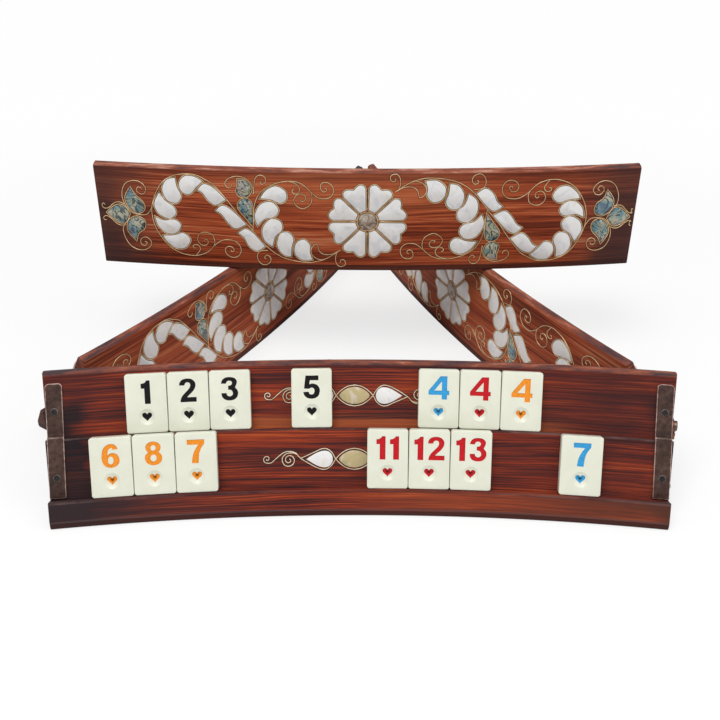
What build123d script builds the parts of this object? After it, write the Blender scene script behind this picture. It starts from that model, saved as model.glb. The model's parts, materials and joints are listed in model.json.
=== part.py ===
"""Four curved two-tier tile racks with mother-of-pearl inlay, and fourteen numbered tiles.

Millimetres, +Z up. The front rack's player side faces -Y. The origin is at the bottom centre of the
whole set's box. Each rack is described once, in its own frame: X along the rack, Y from its front
edge to its back, Z up, with the origin under the middle of its front edge.
"""
from build123d import *
from math import atan2, cos, degrees, hypot, pi, radians, sin
import os

os.makedirs("parts", exist_ok=True)

# ---- rack body -----------------------------------------------------------------------------------
rack_length = 389.0         # along the front bottom edge
bend_radius = 1352.0        # of the front bottom edge, seen from above
face_lean = 27.5            # of both tile faces, back from the vertical
lip_height = 5.0            # upright front edge
apron_height = 13.5         # leaning band below the lower tier
ledge_depth = 9.0           # of both tile ledges
lower_face_height = 38.0    # measured up the leaning face
upper_face_height = 42.5
top_width = 6.1             # of the top edge, from front to back
top_tilt = 18.0             # of the top edge, down towards the back
base_depth = 66.0           # from the front edge to the foot of the back
top_chamfer = 1.3           # of the arrises along the top edge

# ---- end bars and their screws --------------------------------------------------------------------
bar_width = 10.2
bar_thickness = 2.0
bar_end_inset = 0.8         # from the rack's end to the bar
bar_top_drop = 7.5          # from the top of the tile face down to the bar
bar_foot_gap = 0.8          # from the lower ledge up to the bar
bar_corner = 2.4            # round the bar's top corners
bar_fold_rounding = 1.4     # outside the fold over the ledge
upper_screw_height = 17.0   # up the upper face
lower_screw_height = 14.0   # up the lower face
screw_shank_radius = 1.3
screw_fit = 0.05            # radial clearance of the shank in the bar
screw_head_radius = 2.3
screw_head_height = 0.9
HEAD_SIDES = 12             # flats that stand for the round of a screw's head
THREAD_SIDES = 8            # and for its thread, here and on the pivot screw
screw_grip = 8.0            # of the thread in the wood

# ---- latch on the right end: swing hook, its pivot screw and the keeper pin -----------------------
hook_pivot_depth = 51.0     # from the front edge, along the end face
hook_pivot_height = 45.5
hook_thickness = 1.6
hook_standoff = 0.5         # from the end face to the hook
hook_eye_wall = 2.6
hook_arm_width = 4.4
hook_throat_play = 0.3      # between a keeper pin and the hook's throat
hook_throat_wall = 2.2
thumb_lug_drop = 5.0        # from the pivot down to the lug that lifts the hook
thumb_lug_length = 4.4
thumb_lug_height = 1.8
pivot_radius = 1.6
pivot_fit = 0.08            # radial running clearance in the hook's eye
pivot_head_radius = 3.4
pivot_head_height = 1.9
pivot_end_play = 0.2        # from the hook to the screw's head
pivot_grip = 11.0           # of the thread in the wood
keeper_depth = 28.0
keeper_height = 14.0
keeper_radius = 1.8
keeper_stand = 2.4          # out of the end face
keeper_grip = 6.0           # in the wood

# ---- inlay on the slanted back ---------------------------------------------------------------------
PETALS = 8
DISC_FACETS = 16            # flats that stand for the round of the flower's middle
inlay_thickness = 0.35      # of the plates, seated on the back
flower_radius = 28.5
flower_disc_radius = 6.6
wire_gap = 1.6              # between two plates, where the wire runs
lobe_turn = 13.5            # degrees from a petal's middle to the lobes beside its notch
notch_depth = 2.6           # of the notch in a petal's end
flower_raise = 1.2          # above the middle of the slanted back

# Leaves of the back's left half, each the corners of its sawn outline from the tip round, in thousandths
# of the rack's length across from the flower's middle and up the slanted back from it, seen from behind.
# The right half is the same, turned half round about the flower.
PEARL_LEAVES = [
    [(-399.0, -40.4), (-377.9, -38.6), (-358.6, -33.4), (-345.8, -46.3), (-356.0, -63.2),
     (-374.0, -65.6), (-392.0, -52.7)],
    [(-411.3, -1.8), (-394.6, -8.2), (-372.8, -5.9), (-362.0, -17.5), (-372.8, -33.2),
     (-390.7, -34.4), (-406.7, -20.1)],
    [(-399.0, 48.1), (-388.2, 32.4), (-373.3, 21.1), (-369.9, 6.7), (-383.5, -4.1),
     (-403.6, 5.7), (-410.3, 26.2)],
    [(-365.0, 79.4), (-363.0, 61.7), (-356.3, 43.2), (-366.6, 28.8), (-384.3, 34.4),
     (-391.8, 55.3), (-382.0, 74.3)],
    [(-312.9, 74.6), (-327.8, 83.3), (-345.8, 83.5), (-357.8, 69.4), (-354.2, 52.7),
     (-339.3, 47.8), (-326.5, 60.9)],
    [(-323.4, 56.6), (-310.0, 69.2), (-290.5, 60.7), (-270.4, 39.1), (-290.5, 28.0),
     (-304.1, 37.5), (-314.4, 51.9)],
    [(-290.5, 16.5), (-276.6, 27.2), (-257.6, 15.9), (-233.4, -10.0), (-254.0, -19.0),
     (-268.1, -7.7), (-279.2, 8.5)],
    [(-249.1, -28.0), (-234.4, -19.8), (-218.0, -30.8), (-198.7, -55.0), (-214.9, -65.0),
     (-230.1, -54.5), (-238.6, -37.5)],
    [(-203.6, 43.7), (-192.3, 59.6), (-173.8, 68.6), (-156.3, 60.2), (-153.7, 44.2),
     (-165.0, 35.5), (-185.1, 42.4)],
    [(-210.8, -11.8), (-215.9, 7.7), (-203.6, 31.4), (-182.5, 37.0), (-169.9, 22.6),
     (-177.1, 7.7), (-197.9, 1.5)],
    [(-184.1, -54.5), (-199.5, -41.1), (-201.5, -17.5), (-186.1, 1.8), (-167.1, -2.1),
     (-164.3, -19.5), (-177.4, -33.4)],
    [(-148.1, -75.1), (-163.5, -71.0), (-174.6, -52.4), (-168.6, -28.8), (-152.7, -24.7),
     (-142.7, -37.5), (-146.8, -56.6)],
    [(-107.2, -80.7), (-125.4, -82.0), (-140.4, -68.4), (-137.8, -47.3), (-122.4, -39.1),
     (-111.1, -50.4), (-111.1, -65.8)],
]
ABALONE_LEAVES = [
    [(-455.0, 54.8), (-466.1, 35.7), (-461.7, 15.9), (-446.0, 4.9), (-432.6, 12.3),
     (-433.9, 26.7), (-448.8, 42.7)],
    [(-506.9, 2.3), (-490.0, 15.9), (-474.6, 17.7), (-462.2, 3.1), (-471.5, -14.4),
     (-484.8, -16.5), (-498.2, -6.7)],
    [(-455.0, -52.4), (-468.4, -33.4), (-464.8, -12.9), (-448.3, -3.6), (-434.4, -11.3),
     (-436.5, -26.7), (-449.9, -37.5)],
    [(-244.7, 80.2), (-228.8, 77.6), (-220.1, 62.7), (-227.2, 48.3), (-240.6, 46.3),
     (-247.8, 55.5), (-244.7, 68.9)],
    [(-221.1, -11.8), (-232.9, 4.6), (-246.3, 23.7), (-242.7, 37.5), (-230.3, 42.2),
     (-221.1, 32.9), (-220.6, 11.3)],
]

# ---- tiles -------------------------------------------------------------------------------------------
tile_width = 26.0
tile_height = 38.0
tile_thickness = 8.0
tile_corner = 1.8           # cut off each corner
tile_gap = 0.25             # from the tile to the wood behind it and below it

tile_play = 0.6             # between neighbours in a run

# Runs of tiles side by side, from left to right: the run's distance from the left bar or the right bar
# to its nearest tile, or from the rack's middle to its own middle.
UPPER_RUNS = [
    ("left", 40.1, ["tile_1_black", "tile_2_black", "tile_3_black"]),
    ("middle", -31.3, ["tile_5_black"]),
    ("right", 73.1, ["tile_4_blue", "tile_4_red", "tile_4_orange"]),
]
LOWER_RUNS = [
    ("left", 16.3, ["tile_6_orange", "tile_8_orange", "tile_7_orange"]),
    ("middle", 44.2, ["tile_11_red", "tile_12_red", "tile_13_red"]),
    ("right", 33.2, ["tile_7_blue"]),
]

# ---- how the racks stand: turns about Z, and places beside the front rack's back corners ----------------
left_turn = -117.0
left_inset = 24.2           # from the front rack's left end in to the left rack's near back corner
left_clearance = 9.3        # from the front rack's back to that corner
right_turn = 113.8
right_inset = 31.1          # the same for the right rack
right_clearance = 5.2
bridge_turn = 179.7
bridge_shift = 3.6          # to the right of midway between the side racks
bridge_setback = 5.3        # towards the front rack
bridge_gap = 0.2            # from the tops of the side racks to the base of the bridge rack


# ---- geometry of the bent rack -----------------------------------------------------------------------
lean = radians(face_lean)


def leaning(corner, out, up):
    """Depth and height of a point up a tile face from its foot, and out in front of the face."""
    depth, height = corner
    return (depth + up * sin(lean) - out * cos(lean), height + up * cos(lean) + out * sin(lean))


front_foot = (0.0, 0.0)
lip_top = (0.0, lip_height)
apron_top = leaning(lip_top, 0, apron_height)
lower_ledge = leaning(apron_top, -ledge_depth, 0)
lower_nose = leaning(lower_ledge, 0, lower_face_height)
upper_ledge = leaning(lower_nose, -ledge_depth, 0)
top_front = leaning(upper_ledge, 0, upper_face_height)
top_back = (top_front[0] + top_width * cos(radians(top_tilt)),
            top_front[1] - top_width * sin(radians(top_tilt)))
back_foot = (base_depth, 0.0)
back_rise = atan2(top_back[1], top_back[0] - base_depth)

back_slant = hypot(top_back[0] - base_depth, top_back[1])

bend_axis = Axis((0, -bend_radius, 0), (0, 0, -1))


def station(along, depth=0.0):
    """The upright section plane at a distance along the rack: its x is depth, its y is height."""
    angle = along / (bend_radius + depth)
    radial = Vector(sin(angle), cos(angle), 0)
    return Plane(origin=radial * bend_radius - Vector(0, bend_radius, 0), x_dir=radial,
                 z_dir=Vector(cos(angle), -sin(angle), 0))


def face_plane(corner, along, up):
    """A plane on a tile face, its x along the rack and its y up the face."""
    depth, height = leaning(corner, 0, up)
    upright = station(along, depth)
    return Plane(origin=upright.from_local_coords((depth, height, 0)), x_dir=upright.z_dir,
                 z_dir=upright.x_dir * -cos(lean) + Vector(0, 0, sin(lean)))


def back_plane(across, up):
    """A plane on the slanted back, its x to the right as seen from behind and its y up."""
    depth = base_depth + up * cos(back_rise)
    upright = station(-across, depth)
    return Plane(origin=upright.from_local_coords((depth, up * sin(back_rise), 0)), x_dir=-upright.z_dir,
                 z_dir=upright.x_dir * sin(back_rise) - Vector(0, 0, cos(back_rise)))


def widening(depth):
    """How much longer a piece that spans the same angle is at a depth than along the front edge."""
    return 1 + depth / bend_radius


def near(sketch, *points):
    """The sketch's corners at these points."""
    return [sketch.vertices().sort_by_distance(point)[0] for point in points]


# ---- rack body, drilled for its screws and pins -------------------------------------------------------
right_end = station(rack_length / 2)
hook_pivot = (hook_pivot_depth, hook_pivot_height)
keeper = (keeper_depth, keeper_height)
bar_middle = rack_length / 2 - bar_end_inset - bar_width / 2


def screw_planes(side, out):
    """The planes of the two screws of one end bar, out from the tile faces."""
    planes = []
    for corner, up in ((upper_ledge, upper_screw_height), (lower_ledge, lower_screw_height)):
        along = side * bar_middle * widening(leaning(corner, 0, up)[0])
        planes.append(face_plane(corner, along, up).offset(out))
    return planes


with BuildPart() as screw:
    with BuildSketch():
        RegularPolygon(screw_head_radius, HEAD_SIDES)
    extrude(amount=screw_head_height)
    with BuildSketch():
        RegularPolygon(screw_shank_radius, THREAD_SIDES)
    extrude(amount=-bar_thickness - screw_grip)

with BuildPart() as rack_body:
    with BuildSketch(station(-rack_length / 2)) as section:
        with BuildLine():
            Polyline(front_foot, lip_top, apron_top, lower_ledge, lower_nose, upper_ledge,
                     top_front, top_back, back_foot, close=True)
        make_face()
        chamfer(near(section, top_front, top_back), top_chamfer)
    revolve(axis=bend_axis, revolution_arc=degrees(rack_length / bend_radius))
    with Locations(*screw_planes(-1, bar_thickness), *screw_planes(1, bar_thickness)):
        add(screw.part, mode=Mode.SUBTRACT)
    with BuildSketch(right_end):
        with Locations(hook_pivot):
            RegularPolygon(pivot_radius, THREAD_SIDES)
    extrude(amount=-pivot_grip, mode=Mode.SUBTRACT)
    with BuildSketch(right_end):
        with Locations(keeper):
            Circle(keeper_radius)
    extrude(amount=-keeper_grip, mode=Mode.SUBTRACT)

# ---- end bars and screws -----------------------------------------------------------------------------
bar_fold = leaning(lower_nose, bar_thickness, bar_thickness)
bar_top = upper_face_height - bar_top_drop

with BuildPart() as left_bar:
    with BuildSketch(station(-bar_middle - bar_width / 2)) as profile:
        with BuildLine():
            Polyline(leaning(upper_ledge, 0, bar_top), upper_ledge, lower_nose,
                     leaning(lower_ledge, 0, bar_foot_gap),
                     leaning(lower_ledge, bar_thickness, bar_foot_gap), bar_fold,
                     leaning(upper_ledge, bar_thickness, bar_thickness),
                     leaning(upper_ledge, bar_thickness, bar_top), close=True)
        make_face()
        fillet(near(profile, bar_fold), bar_fold_rounding)
    revolve(axis=bend_axis, revolution_arc=degrees(bar_width / bend_radius))
    top_end = left_bar.faces().sort_by(Axis.Z)[-1]
    fillet(top_end.edges().sort_by(SortBy.LENGTH)[:2], bar_corner)
    with BuildSketch(*screw_planes(-1, bar_thickness)):
        RegularPolygon(screw_shank_radius + screw_fit, THREAD_SIDES)
    extrude(amount=-bar_thickness, mode=Mode.SUBTRACT)

with BuildPart() as right_bar:
    mirror(left_bar.part, about=Plane.YZ)

with BuildPart() as screws:
    with Locations(*screw_planes(-1, bar_thickness), *screw_planes(1, bar_thickness)):
        add(screw.part)

# ---- latch: the mate is the same rack turned upside down, its tile faces against these ones ----------
nest_up = (top_front[1] / 2 - lower_ledge[1]) / cos(lean)
nest_middle = leaning(lower_ledge, 0, nest_up)
mate_keeper = (2 * nest_middle[0] - keeper_depth, 2 * nest_middle[1] - keeper_height)
hook_reach = hypot(mate_keeper[0] - hook_pivot_depth, mate_keeper[1] - hook_pivot_height)
throat_radius = keeper_radius + hook_throat_play
throat = (hook_pivot_depth, hook_pivot_height - hook_reach)
jaw_radius = throat_radius + hook_throat_wall
eye_radius = pivot_radius + pivot_fit + hook_eye_wall
hook_face = hook_standoff + hook_thickness

with BuildPart() as hook:
    with BuildSketch(right_end.offset(hook_standoff)) as plate:
        with Locations(hook_pivot):
            Circle(eye_radius)
            Rectangle(hook_arm_width, hook_reach, align=(Align.CENTER, Align.MAX))
        with Locations(throat):
            Circle(jaw_radius)
            Circle(throat_radius, mode=Mode.SUBTRACT)
            Rectangle(2 * jaw_radius, 2 * throat_radius, align=(Align.MIN, Align.CENTER),
                      mode=Mode.SUBTRACT)
        with Locations(hook_pivot):
            Circle(pivot_radius + pivot_fit, mode=Mode.SUBTRACT)
    extrude(amount=hook_thickness)
    with BuildSketch(right_end.offset(hook_face)):
        with Locations((hook_pivot_depth, hook_pivot_height - thumb_lug_drop)):
            Rectangle(hook_arm_width, thumb_lug_length, align=(Align.CENTER, Align.MAX))
    extrude(amount=thumb_lug_height)

with BuildPart() as hook_screw:
    with BuildSketch(right_end):
        with Locations(hook_pivot):
            RegularPolygon(pivot_radius, THREAD_SIDES)
    extrude(amount=-pivot_grip)
    with BuildSketch(right_end):
        with Locations(hook_pivot):
            Circle(pivot_radius)
    extrude(amount=hook_face + pivot_end_play)
    with BuildSketch(right_end.offset(hook_face + pivot_end_play)):
        with Locations(hook_pivot):
            Circle(pivot_head_radius)
    extrude(amount=pivot_head_height)

with BuildPart() as keeper_pin:
    with BuildSketch(right_end.offset(-keeper_grip)):
        with Locations(keeper):
            Circle(keeper_radius)
    extrude(amount=keeper_grip + keeper_stand)


# ---- inlay: outlines, each round its own middle ------------------------------------------------------
def petal():
    """One heart-notched petal of the flower, along X from the flower's middle."""
    half = radians(180 / PETALS)
    spoke_gap = wire_gap / 2
    inner = flower_disc_radius + wire_gap
    outer = flower_radius * 0.9

    def beside_spoke(along, side):
        return (along * cos(half) + spoke_gap * sin(half),
                side * (along * sin(half) - spoke_gap * cos(half)))

    notch = (flower_radius - notch_depth, 0)
    lobe = radians(lobe_turn)
    lobe_tops = [(flower_radius * cos(lobe), side * flower_radius * sin(lobe)) for side in (1, -1)]
    with BuildSketch() as face:
        with BuildLine():
            Polyline(beside_spoke(inner, 1), beside_spoke(outer, 1), lobe_tops[0], notch,
                     lobe_tops[1], beside_spoke(outer, -1), beside_spoke(inner, -1), close=True)
        make_face()
    return face.sketch


def disc():
    """The round middle of the flower."""
    with BuildSketch() as face:
        RegularPolygon(flower_disc_radius, DISC_FACETS)
    return face.sketch


# ---- inlay: places, each a plane with a turn and an outline ------------------------------------------
flower_up = back_slant / 2 + flower_raise


def leaf_places(leaves):
    """Both halves of the back's leaves, the second turned half round about the flower."""
    for corners in leaves:
        outline = [Vector(*corner) * rack_length / 1000 for corner in corners]
        middle = sum(outline, Vector()) / len(outline)
        with BuildSketch() as leaf:
            with BuildLine():
                Polyline(*[corner - middle for corner in outline], close=True)
            make_face()
        for side, turn in ((1, 0), (-1, 180)):
            yield back_plane(side * middle.X, flower_up + side * middle.Y), turn, leaf.sketch


def flower_places():
    """The flower's petals, the spokes between them upright, level and diagonal."""
    for count in range(PETALS):
        turn = (count + 0.5) * 360 / PETALS
        yield back_plane(0, flower_up), turn, petal()


def seat_inlay(places):
    """Plates seated on the back at these places."""
    for plane, turn, outline in places:
        with BuildSketch(plane) as piece:
            add(outline, rotation=turn)
        extrude(piece.sketch, amount=inlay_thickness)


with BuildPart() as pearl_inlay:
    seat_inlay([*leaf_places(PEARL_LEAVES), *flower_places()])

with BuildPart() as abalone_inlay:
    seat_inlay([*leaf_places(ABALONE_LEAVES), (back_plane(0, flower_up), 0, disc())])


# ---- tiles -------------------------------------------------------------------------------------------
def stand_tile(corner, along):
    """A tile on a ledge, its back leaning along the tile face."""
    with BuildPart() as tile:
        with BuildSketch(face_plane(corner, along, tile_gap + tile_height / 2).offset(tile_gap)) as face:
            Rectangle(tile_width, tile_height)
            chamfer(face.vertices(), tile_corner)
        extrude(amount=tile_thickness)
    return tile


def run_middle(tier, measured_from, distance, length):
    """Along the tier to the middle of a run of tiles."""
    bar_inner_edge = (bar_middle - bar_width / 2) * widening(leaning(tier, tile_gap, tile_height / 2)[0])
    if measured_from == "left":
        return -bar_inner_edge + distance + length / 2
    if measured_from == "right":
        return bar_inner_edge - distance - length / 2
    return distance


tiles = {}
for tier, runs in ((upper_ledge, UPPER_RUNS), (lower_ledge, LOWER_RUNS)):
    for measured_from, distance, names in runs:
        step = tile_width + tile_play
        length = len(names) * step - tile_play
        for count, name in enumerate(names):
            offset = (count - (len(names) - 1) / 2) * step
            tiles[name] = stand_tile(tier, run_middle(tier, measured_from, distance, length) + offset)

# ---- the set: four racks and the tiles on the front one ----------------------------------------------
rack_pieces = {
    "rack": rack_body, "left_bar": left_bar, "right_bar": right_bar, "bar_screws": screws,
    "hook": hook, "hook_screw": hook_screw, "keeper_pin": keeper_pin,
    "pearl_inlay": pearl_inlay, "abalone_inlay": abalone_inlay,
}
back_right = right_end.from_local_coords((max(base_depth, top_back[0]), 0, 0))
back_left = Vector(-back_right.X, back_right.Y)


def stand_on_corner(corner, turn, own_corner):
    """Turn a rack and stand it with its own back corner at this point."""
    return Location(corner) * Location((0, 0, 0), (0, 0, turn)) * Location(-own_corner)


left_place = stand_on_corner(back_left + Vector(left_inset, left_clearance), left_turn, back_right)
right_place = stand_on_corner(back_right + Vector(-right_inset, right_clearance), right_turn, back_left)
rack_height = rack_body.part.bounding_box().max.Z
between_sides = (left_place.position + right_place.position) / 2
bridge_foot = between_sides + Vector(bridge_shift, -bridge_setback, rack_height + bridge_gap)
rack_places = {
    "front": Location((0, 0, 0)),
    "left": left_place,
    "right": right_place,
    "bridge": Location(bridge_foot, (0, 0, bridge_turn)),
}

with BuildPart() as whole_set:
    with Locations(*rack_places.values()):
        for piece in rack_pieces.values():
            add(piece.part)

box = whole_set.part.bounding_box()
to_centre = Location((-box.center().X, -box.center().Y, 0))


def put_in_set(made, place, name):
    """Write one piece where it stands in the set."""
    with BuildPart() as placed:
        with Locations(to_centre * place):
            add(made.part)
    placed.part.label = name
    export_step(placed.part, f"parts/{name}.step")


for rack, place in rack_places.items():
    for piece, made in rack_pieces.items():
        put_in_set(made, place, f"{rack}_{piece}")

for name, made in tiles.items():
    put_in_set(made, rack_places["front"], name)
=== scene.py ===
"""Looks of a set of four curved, inlaid tile racks and fourteen numbered tiles. Metres, +Z up."""

import json
from math import atan2, copysign, cos, hypot, pi, radians, sin

import bmesh
import bpy
from mathutils import Matrix, Vector

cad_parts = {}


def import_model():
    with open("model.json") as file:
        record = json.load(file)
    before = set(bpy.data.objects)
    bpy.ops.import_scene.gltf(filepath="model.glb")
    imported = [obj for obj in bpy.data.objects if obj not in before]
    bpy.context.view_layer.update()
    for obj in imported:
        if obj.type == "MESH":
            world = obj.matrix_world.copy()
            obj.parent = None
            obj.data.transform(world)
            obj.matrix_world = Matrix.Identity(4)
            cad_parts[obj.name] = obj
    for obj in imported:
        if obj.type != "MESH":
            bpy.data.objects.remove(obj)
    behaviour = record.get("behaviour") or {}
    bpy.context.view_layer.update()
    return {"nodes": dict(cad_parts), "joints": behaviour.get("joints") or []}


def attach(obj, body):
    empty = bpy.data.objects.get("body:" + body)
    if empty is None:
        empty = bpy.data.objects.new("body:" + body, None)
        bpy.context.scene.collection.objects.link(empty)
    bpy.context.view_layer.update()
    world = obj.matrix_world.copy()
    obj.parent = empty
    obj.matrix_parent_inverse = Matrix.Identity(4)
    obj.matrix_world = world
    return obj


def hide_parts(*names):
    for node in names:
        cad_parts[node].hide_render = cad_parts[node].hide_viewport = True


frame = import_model()

MM = 0.001
TENTH = 0.1 * MM
RACKS = ("front", "left", "right", "bridge")

# ---- sizes of a rack, as made ----
RACK_LENGTH = 389 * MM
BEND_RADIUS = 1352 * MM
LEAN = radians(27.5)            # of the tile faces
LIP_HEIGHT = 5 * MM
APRON_HEIGHT = 13.5 * MM
LEDGE_DEPTH = 9 * MM
LOWER_FACE = 38 * MM
UPPER_FACE = 42.5 * MM
TOP_WIDTH = 6.1 * MM
TOP_TILT = radians(18.0)
BASE_DEPTH = 66 * MM
BAR_WIDTH = 10.2 * MM
BAR_THICKNESS = 2 * MM
BAR_END_INSET = 0.8 * MM
BAR_TOP_DROP = 7.5 * MM
BAR_FOOT_GAP = 0.8 * MM
UPPER_SCREW = 17 * MM           # up the upper face
LOWER_SCREW = 14 * MM
PIVOT_DEPTH = 51 * MM
PIVOT_HEIGHT = 45.5 * MM
FLOWER_RAISE = 1.2 * MM
TILE = Vector((26.0, 38.0, 8.0)) * MM
TILE_GAP = 0.25 * MM
TILE_STEP = 26.6 * MM           # from one tile of a run to the next


def leaning(corner, out, up):
    """Depth and height of a point up a tile face from its foot, and out in front of the face."""
    depth, height = corner
    return depth + up * sin(LEAN) - out * cos(LEAN), height + up * cos(LEAN) + out * sin(LEAN)


LIP_TOP = (0.0, LIP_HEIGHT)
APRON_TOP = leaning(LIP_TOP, 0, APRON_HEIGHT)
LOWER_LEDGE = leaning(APRON_TOP, -LEDGE_DEPTH, 0)
LOWER_NOSE = leaning(LOWER_LEDGE, 0, LOWER_FACE)
UPPER_LEDGE = leaning(LOWER_NOSE, -LEDGE_DEPTH, 0)
TOP_FRONT = leaning(UPPER_LEDGE, 0, UPPER_FACE)
TOP_BACK = (TOP_FRONT[0] + TOP_WIDTH * cos(TOP_TILT), TOP_FRONT[1] - TOP_WIDTH * sin(TOP_TILT))
BACK_SLANT = hypot(TOP_BACK[0] - BASE_DEPTH, TOP_BACK[1])
BACK_RISE = atan2(TOP_BACK[1], TOP_BACK[0] - BASE_DEPTH)
FLOWER_UP = BACK_SLANT / 2 + FLOWER_RAISE
BAR_MIDDLE = RACK_LENGTH / 2 - BAR_END_INSET - BAR_WIDTH / 2


# ---- from flat work to the bent rack ----
def bent(point, bent_at=0.0):
    """A point of a rack from (along, depth, height); arc lengths are true at the depth bent_at."""
    along, depth, height = point
    angle = along / (BEND_RADIUS + bent_at)
    reach = BEND_RADIUS + depth
    return Vector((reach * sin(angle), reach * cos(angle) - BEND_RADIUS, height))


def on_face(corner):
    """Lays (along, up, out) on a tile face."""
    def lay(point):
        along, up, out = point
        return bent((along, *leaning(corner, out, up)), leaning(corner, 0, up)[0])
    return lay


def on_back(point):
    """Lays (across, up, out) on the slanted back: across from its middle, up from the flower's middle."""
    across, up, out = point
    climb = up + FLOWER_UP
    root = BASE_DEPTH + climb * cos(BACK_RISE)
    height = climb * sin(BACK_RISE) - out * cos(BACK_RISE)
    return bent((-across, root + out * sin(BACK_RISE), height), root)


def station(along, depth=0.0):
    """Turns (depth, height, out) at an upright section into the rack's frame."""
    angle = along / (BEND_RADIUS + depth)
    radial = Vector((sin(angle), cos(angle), 0))
    end = Vector((cos(angle), -sin(angle), 0))
    made = Matrix((radial, Vector((0, 0, 1)), end)).transposed().to_4x4()
    made.translation = radial * BEND_RADIUS - Vector((0, BEND_RADIUS, 0))
    return made


def face_station(corner, along, up, out=0.0):
    """Turns (across, up, out) on a tile face into the rack's frame."""
    upright = station(along, leaning(corner, 0, up)[0])
    radial, rise, end = (Vector(upright.col[axis][:3]) for axis in range(3))
    outward = radial * -cos(LEAN) + rise * sin(LEAN)
    made = Matrix((end, radial * sin(LEAN) + rise * cos(LEAN), outward)).transposed().to_4x4()
    made.translation = upright @ Vector((*leaning(corner, out, up), 0))
    return made


def rack_place(rack):
    """Where the rack stands, read from the pivot of its hook."""
    pivot = next(j for j in frame["joints"] if j["name"] == f"{rack}_hook_swing")
    end = station(RACK_LENGTH / 2)
    outward = -Vector(pivot["axis"])
    turn = atan2(outward.y, outward.x) - atan2(end.col[2].y, end.col[2].x)
    turned = Matrix.Rotation(turn, 4, "Z")
    own_pivot = turned @ (end @ Vector((PIVOT_DEPTH, PIVOT_HEIGHT, 0)))
    return Matrix.Translation(Vector(pivot["pos_m"]) - own_pivot) @ turned


PLACES = {rack: rack_place(rack) for rack in RACKS}


# ---- shader maths ----
def operator(operation):
    return lambda signal, other: signal.maths(operation, other)


class Signal:
    """One output in a node tree, for use in Python expressions."""
    __add__ = __radd__ = operator("ADD")
    __sub__ = operator("SUBTRACT")
    __mul__ = __rmul__ = operator("MULTIPLY")
    __pow__ = operator("POWER")

    def __init__(self, nodes, socket):
        self.nodes = nodes
        self.socket = socket

    def __rsub__(self, other):
        return self.nodes.node("ShaderNodeMath", other, self, operation="SUBTRACT")

    def maths(self, operation, *others):
        return self.nodes.node("ShaderNodeMath", self, *others, operation=operation)

    def between(self, low, high):
        """0 below low, 1 above high, and smooth in between."""
        return self.nodes.node("ShaderNodeMapRange", self, low, high, interpolation_type="SMOOTHSTEP")

    def past(self, low, high):
        """The same with its limits in mm."""
        return self.between(low * MM, high * MM)


class Nodes:
    """The node tree of a material or a world."""

    def __init__(self, owner):
        owner.use_nodes = True
        self.tree = owner.node_tree

    def feed(self, socket, value):
        if isinstance(value, Signal):
            self.tree.links.new(value.socket, socket)
        elif value is not None:
            socket.default_value = value

    def node(self, kind, *values, output=0, **named):
        """A new node: values go to its sockets in order, named ones to a socket or a setting."""
        made = self.tree.nodes.new(kind)
        for name, value in named.items():
            if name in made.inputs:
                self.feed(made.inputs[name], value)
            else:
                setattr(made, name, value)
        for socket, value in zip(made.inputs, values):
            self.feed(socket, value)
        return Signal(self, made.outputs[output])

    def place(self):
        return self.node("ShaderNodeTexCoord", output="Object")

    def vector(self, x, y, z):
        return self.node("ShaderNodeCombineXYZ", x, y, z)

    def parts(self, vector):
        return [self.node("ShaderNodeSeparateXYZ", vector, output=axis) for axis in range(3)]

    def carried(self, attribute):
        """A number that the piece's own vertices carry."""
        return self.node("ShaderNodeAttribute", output=2, attribute_name=attribute)

    def noise(self, vector, scale=1.0, detail=2.0, roughness=0.5, distortion=0.0):
        return self.node("ShaderNodeTexNoise", Vector=vector, Scale=scale, Detail=detail, Roughness=roughness,
                         Distortion=distortion)

    def ramp(self, factor, *stops):
        """Colours along a factor, from stops of (position, red, green, blue)."""
        made = self.node("ShaderNodeValToRGB", factor)
        elements = made.socket.node.color_ramp.elements
        for _ in stops[2:]:
            elements.new(1.0)
        for element, (position, *colour) in zip(elements, stops):
            element.position = position
            element.color = (*colour, 1.0)
        return made

    def mix(self, factor, first, second):
        made = self.node("ShaderNodeMix", factor, data_type="RGBA", output=2)
        sockets = [socket for socket in made.socket.node.inputs if socket.type == "RGBA"]
        for socket, colour in zip(sockets, (first, second)):
            self.feed(socket, colour if isinstance(colour, Signal) else (*colour, 1.0))
        return made

    def bump(self, height, strength, distance):
        return self.node("ShaderNodeBump", Strength=strength, Distance=distance, Height=height)


class Finish(Nodes):
    """A material on one Principled surface, with the nodes that vary it."""

    def __init__(self, name, **surface):
        self.material = bpy.data.materials.new(name)
        super().__init__(self.material)
        self.surface = self.tree.nodes["Principled BSDF"]
        self.set(**surface)

    def set(self, **surface):
        """Set sockets of the surface, with _ for each space in their names."""
        for name, value in surface.items():
            self.feed(self.surface.inputs[name.replace("_", " ")], value)
        return self.material


# ---- finishes ----
# How much darker each rack's crest is; the crest carries a painted sheen, broken up as if worn.
CREST_WEAR_AND_SHEEN = {"front": 0.02, "left": 0.07, "right": -0.01, "bridge": -0.04}
BACK_SHADE = {"front": 1.0, "left": 0.25, "right": 0.25, "bridge": 1.0}


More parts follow.
